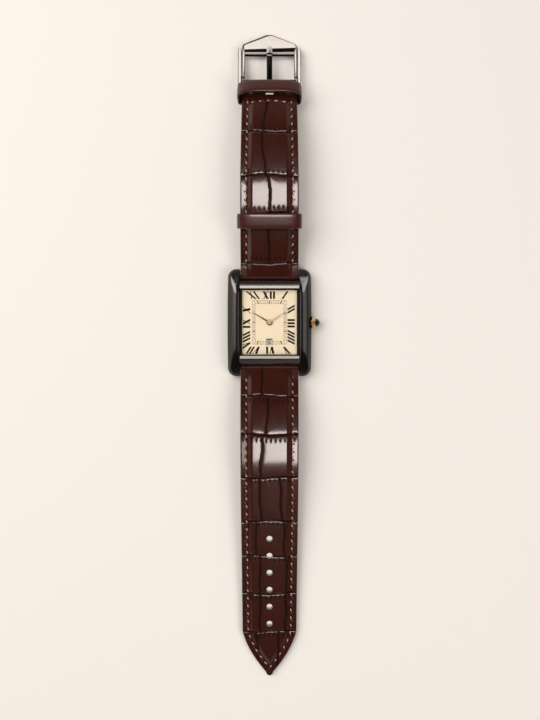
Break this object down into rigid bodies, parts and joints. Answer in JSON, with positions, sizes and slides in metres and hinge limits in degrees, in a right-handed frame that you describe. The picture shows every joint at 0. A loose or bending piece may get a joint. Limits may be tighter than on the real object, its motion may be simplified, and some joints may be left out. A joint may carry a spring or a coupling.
{
  "type": "wristwatch",
  "caption": "Rectangular quartz dress watch with black case, cream Roman dial, two hands, date, crown and open two-piece leather strap with pin buckle.",
  "frame": {"origin": "on the axis of the hands, at the outer face of the case back", "axes": "+X towards 3 o'clock and the crown, +Y towards 12 and the buckle, +Z out of the dial"},
  "size_m": [0.0313, 0.2178, 0.0117],
  "materials": {
    "black_steel": "glossy black plating",
    "crystal": "polished mineral glass",
    "seal": "moulded rubber",
    "cream_dial": "cream lacquer",
    "black_trim": "black enamel",
    "gold": "polished gold plating",
    "stone": "polished black stone",
    "steel": "polished steel",
    "brushed_steel": "brushed steel",
    "movement_brass": "turned brass",
    "white_plastic": "moulded plastic",
    "green_board": "circuit board",
    "copper": "wound enamelled wire",
    "brown_leather": "glossy embossed leather",
    "lining_leather": "smooth lining leather",
    "felt": "pressed filler"
  },
  "bodies": {
    "case": {"case_middle": "black_steel", "crystal": "crystal", "crystal_gasket": "seal", "dial_flange": "black_trim", "dial": "cream_dial", "case_back": "brushed_steel", "case_back_gasket": "seal", "case_back_screws": "steel", "crown_tube": "steel", "crown_gasket": "seal", "movement_holder": "white_plastic", "main_plate": "movement_brass", "train_bridge": "brushed_steel", "movement_screws": "steel", "battery": "steel", "battery_clamp": "brushed_steel", "circuit_board": "green_board", "quartz_can": "steel", "coil_core": "brushed_steel", "coil_winding": "copper", "stator": "brushed_steel", "date_ring_cover": "brushed_steel", "date_jumper": "steel", "spring_bar_12_tube": "steel", "spring_bar_12_tips": "steel", "spring_bar_12_spring": "steel", "spring_bar_6_tube": "steel", "spring_bar_6_tips": "steel", "spring_bar_6_spring": "steel"},
    "minute_arbor": {"centre_wheel": "movement_brass", "minute_hand": "gold"},
    "hour_pipe": {"hour_wheel": "movement_brass", "hour_hand": "gold"},
    "third_arbor": {"third_wheel": "movement_brass"},
    "intermediate_arbor": {"intermediate_wheel": "movement_brass"},
    "rotor_arbor": {"rotor": "steel"},
    "minute_work": {"minute_wheel": "movement_brass"},
    "date_work": {"date_driving_wheel": "movement_brass"},
    "date_disc": {"date_ring": "white_plastic"},
    "clutch": {"clutch_wheel": "steel"},
    "crown_and_stem": {"crown": "gold", "crown_cabochon": "stone", "setting_stem": "steel"},
    "lever": {"setting_lever": "steel"},
    "strap_short": {"strap_short_upper": "brown_leather", "strap_short_filler": "felt", "strap_short_lining": "lining_leather", "fixed_keeper": "brown_leather"},
    "loose_keeper": {"free_keeper": "brown_leather"},
    "strap_long": {"strap_long_upper": "brown_leather", "strap_long_filler": "felt", "strap_long_lining": "lining_leather"},
    "buckle": {"buckle_frame": "steel", "buckle_bar_tube": "steel", "buckle_bar_tips": "steel", "buckle_bar_spring": "steel"},
    "prong": {"buckle_prong": "steel"}
  },
  "joints": [
    {"name": "minute_hand_turn", "type": "hinge", "parent": "case", "child": "minute_arbor", "pos_m": [0, 0, 0.0025], "axis": [0, 0, 1], "continuous": true},
    {"name": "hour_hand_turn", "type": "hinge", "parent": "case", "child": "hour_pipe", "pos_m": [0, 0, 0.0025], "axis": [0, 0, 1], "continuous": true},
    {"name": "third_wheel_turn", "type": "hinge", "parent": "case", "child": "third_arbor", "pos_m": [-0.00082, -0.00226, 0.0025], "axis": [0, 0, 1], "continuous": true},
    {"name": "intermediate_wheel_turn", "type": "hinge", "parent": "case", "child": "intermediate_arbor", "pos_m": [-0.00308, -0.00308, 0.0025], "axis": [0, 0, 1], "continuous": true},
    {"name": "rotor_turn", "type": "hinge", "parent": "case", "child": "rotor_arbor", "pos_m": [-0.00384, -0.00518, 0.0025], "axis": [0, 0, 1], "continuous": true},
    {"name": "minute_wheel_turn", "type": "hinge", "parent": "case", "child": "minute_work", "pos_m": [-0.00184, 0.00154, 0.0025], "axis": [0, 0, 1], "continuous": true},
    {"name": "date_wheel_turn", "type": "hinge", "parent": "case", "child": "date_work", "pos_m": [-0.00236, -0.00165, 0.0025], "axis": [0, 0, 1], "continuous": true},
    {"name": "date_ring_turn", "type": "hinge", "parent": "case", "child": "date_disc", "pos_m": [0, 0, 0.0025], "axis": [0, 0, 1], "continuous": true},
    {"name": "crown_turn", "type": "hinge", "parent": "case", "child": "clutch", "pos_m": [0.005, 0, 0.00245], "axis": [1, 0, 0], "continuous": true},
    {"name": "crown_pull", "type": "slide", "parent": "clutch", "child": "crown_and_stem", "axis": [1, 0, 0], "range_m": [0, 0.0009]},
    {"name": "setting_lever_turn", "type": "hinge", "parent": "case", "child": "lever", "pos_m": [0.0074, 0.0022, 0.003], "axis": [0, 0, 1], "range_deg": [0, 24]},
    {"name": "strap_short_swing", "type": "hinge", "parent": "case", "child": "strap_short", "pos_m": [0, 0.0162, 0.0026], "axis": [1, 0, 0], "range_deg": [-75, 60]},
    {"name": "strap_long_swing", "type": "hinge", "parent": "case", "child": "strap_long", "pos_m": [0, -0.0162, 0.0026], "axis": [-1, 0, 0], "range_deg": [-75, 60]},
    {"name": "keeper_slide", "type": "hinge", "parent": "strap_short", "child": "loose_keeper", "pos_m": [0, 0.04892, -0.08061], "axis": [-1, 0, 0], "range_deg": [-5, 20]},
    {"name": "buckle_swing", "type": "hinge", "parent": "strap_short", "child": "buckle", "pos_m": [0, 0.0806, 0.003], "axis": [1, 0, 0], "range_deg": [-40, 25]},
    {"name": "prong_swing", "type": "hinge", "parent": "buckle", "child": "prong", "pos_m": [0, 0.0806, 0.003], "axis": [1, 0, 0], "range_deg": [0, 55]}
  ],
  "couplings": [
    {"joint": "third_wheel_turn", "follows": "minute_hand_turn", "ratio": -3},
    {"joint": "intermediate_wheel_turn", "follows": "minute_hand_turn", "ratio": 6},
    {"joint": "rotor_turn", "follows": "minute_hand_turn", "ratio": -36},
    {"joint": "minute_wheel_turn", "follows": "minute_hand_turn", "ratio": -0.33333},
    {"joint": "hour_hand_turn", "follows": "minute_hand_turn", "ratio": 0.083333},
    {"joint": "date_wheel_turn", "follows": "minute_hand_turn", "ratio": -0.041667},
    {"joint": "setting_lever_turn", "follows": "crown_pull", "rad_per_m": 454.55}
  ]
}
